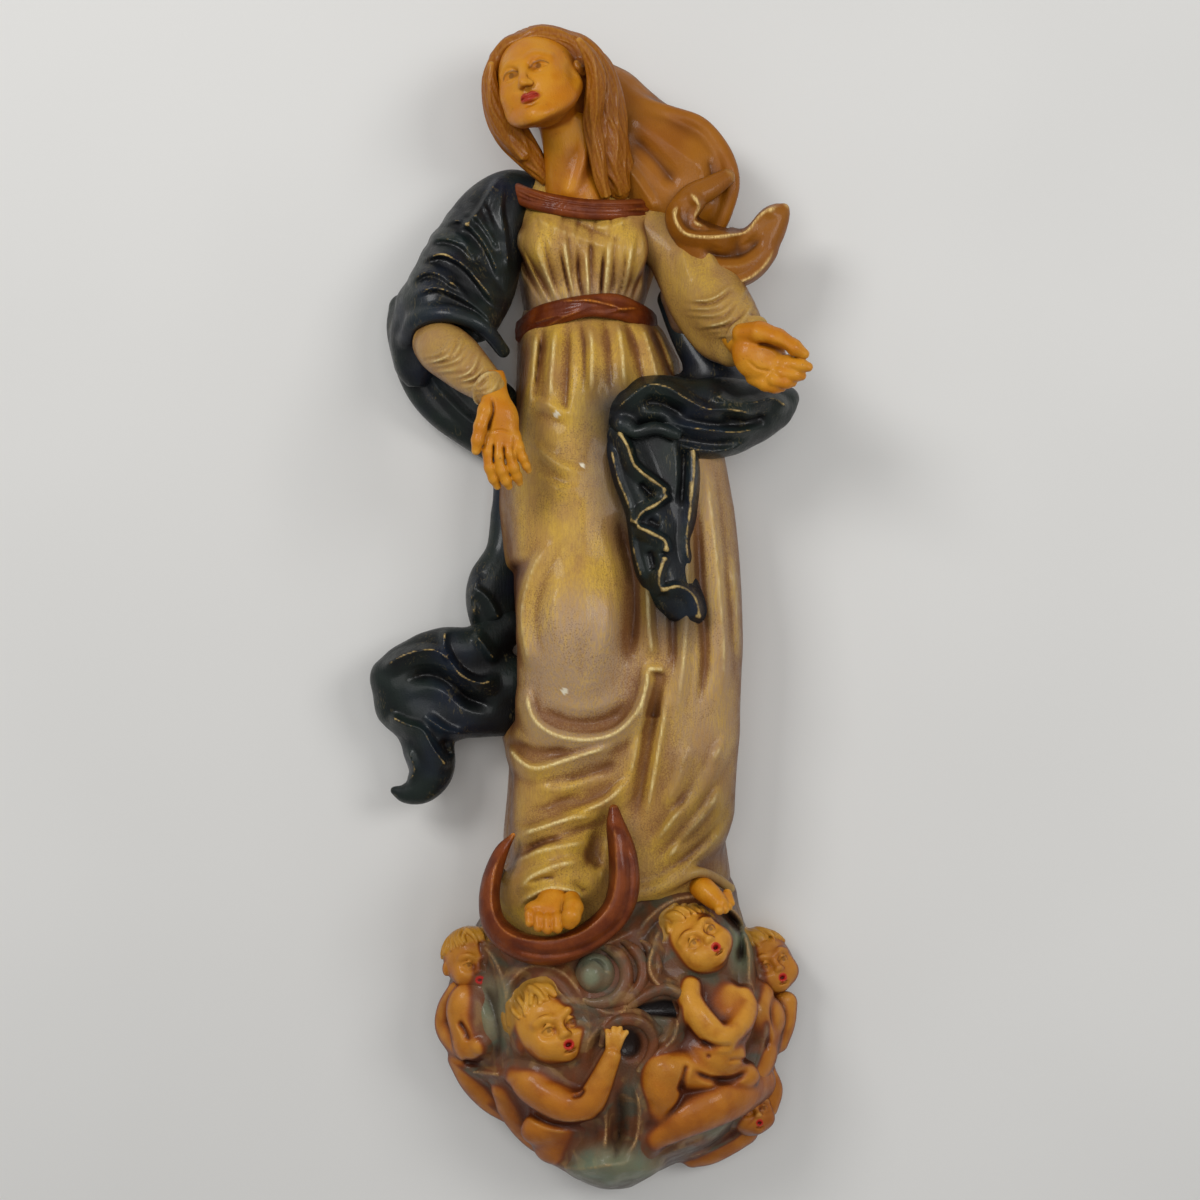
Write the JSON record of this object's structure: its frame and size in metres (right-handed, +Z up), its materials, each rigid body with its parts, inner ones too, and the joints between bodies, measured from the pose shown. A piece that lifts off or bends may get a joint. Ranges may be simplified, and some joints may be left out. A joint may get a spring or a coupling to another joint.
{
  "type": "madonna wall figure",
  "caption": "Half-round figure of a robed and veiled madonna standing on a crescent moon over a globe of clouds and cherubs, hung on a wall by a ring.",
  "frame": {"origin": "the point on the wall plane where the hook bears when the ring is turned up, high on the figure's back", "axes": "+Z up as the figure hangs, +X to the right as the viewer faces it, +Y into the wall, so the figure faces -Y"},
  "size_m": [0.2222, 0.1023, 0.5989],
  "materials": {
    "gown_paint": "cream and ochre paint with brown shading in the folds, fine brush streaks, semi-gloss varnish, over cast resin",
    "mantle_paint": "deep blue-black paint with thin worn gold along the ridges, satin varnish, over cast resin",
    "veil_paint": "golden ochre paint with brown shading, semi-gloss varnish, over cast resin",
    "trim_paint": "copper-red paint with gold highlights, semi-gloss varnish, over cast resin",
    "skin_paint": "orange-ochre flesh paint with dark wash in the creases, semi-gloss varnish, over cast resin",
    "hair_paint": "reddish copper-brown strands with dark wash, semi-gloss varnish, over cast resin",
    "cloud_paint": "brown, mauve and grey-green paint in patches with dark wash, semi-gloss varnish, over cast resin",
    "cherub_paint": "orange-ochre flesh paint with yellow highlights and dark wash, semi-gloss varnish, over cast resin",
    "wood": "plain unfinished softwood",
    "steel": "bright zinc-plated steel",
    "brass": "brass-plated screws",
    "felt": "dark grey self-adhesive felt"
  },
  "bodies": {
    "figure": {"skirt": "gown_paint", "bodice": "gown_paint", "sleeve_right": "gown_paint", "sleeve_left": "gown_paint", "mantle_sleeve": "mantle_paint", "mantle_back": "mantle_paint", "mantle_tail": "mantle_paint", "mantle_hip": "mantle_paint", "mantle_fall": "mantle_paint", "veil": "veil_paint", "veil_end": "veil_paint", "sash": "trim_paint", "neckband": "trim_paint", "crescent_moon": "trim_paint", "head": "skin_paint", "hand_right": "skin_paint", "hand_left": "skin_paint", "foot_right": "skin_paint", "foot_left": "skin_paint", "hair": "hair_paint", "cloud_globe": "cloud_paint", "cloud_scroll": "cloud_paint", "cloud_hood": "cloud_paint", "cloud_lip": "cloud_paint", "cherub_upper_head": "cherub_paint", "cherub_upper_body": "cherub_paint", "cherub_front_head": "cherub_paint", "cherub_front_body": "cherub_paint", "cherub_left_head": "cherub_paint", "cherub_left_body": "cherub_paint", "cherub_right_head": "cherub_paint", "cherub_right_body": "cherub_paint", "cherub_low_head": "cherub_paint", "cherub_low_body": "cherub_paint", "hanger_block": "wood", "neck_dowel": "wood", "globe_dowels": "wood", "hanger_strap": "steel", "wrist_pins": "steel", "moon_pins": "steel", "drape_pins": "steel", "hanger_screws": "brass", "wall_pads": "felt"},
    "ring": {"hanger_ring": "steel"}
  },
  "joints": [
    {"name": "ring_hinge", "type": "hinge", "parent": "figure", "child": "ring", "pos_m": [0, -0.00615, -0.01475], "axis": [1, 0, 0], "range_deg": [0, 180]}
  ]
}
